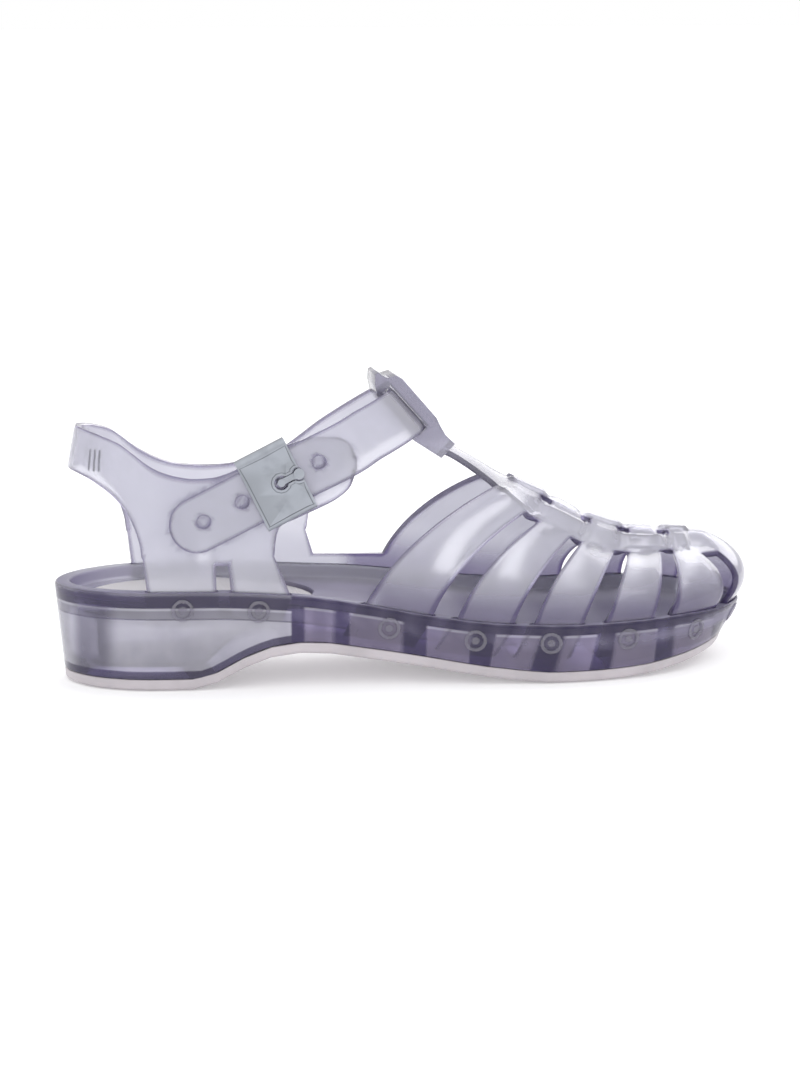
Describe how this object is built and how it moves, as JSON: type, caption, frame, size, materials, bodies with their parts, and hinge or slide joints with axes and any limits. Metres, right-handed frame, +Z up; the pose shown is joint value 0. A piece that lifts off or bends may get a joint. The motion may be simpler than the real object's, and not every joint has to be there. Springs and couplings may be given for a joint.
{
  "type": "jelly sandal",
  "caption": "Clear moulded plastic sandal with a woven strap cage, closed toe cap, T bar with loop, buckled ankle strap and a hollow low wedge heel.",
  "frame": {"origin": "on the floor under the middle of the sandal", "axes": "+X from heel to toe, +Y towards the inner (big toe) side, +Z up"},
  "size_m": [0.255, 0.0872, 0.1075],
  "materials": {
    "outsole": "satin",
    "sole": "gloss",
    "heel_pad": "matt",
    "upper": "gloss",
    "buckle": "satin",
    "prong": "satin"
  },
  "bodies": {
    "root": {"outsole": "outsole", "sole": "sole", "heel_pad": "heel_pad", "upper": "upper", "buckle": "buckle", "prong": "prong"}
  },
  "joints": []
}
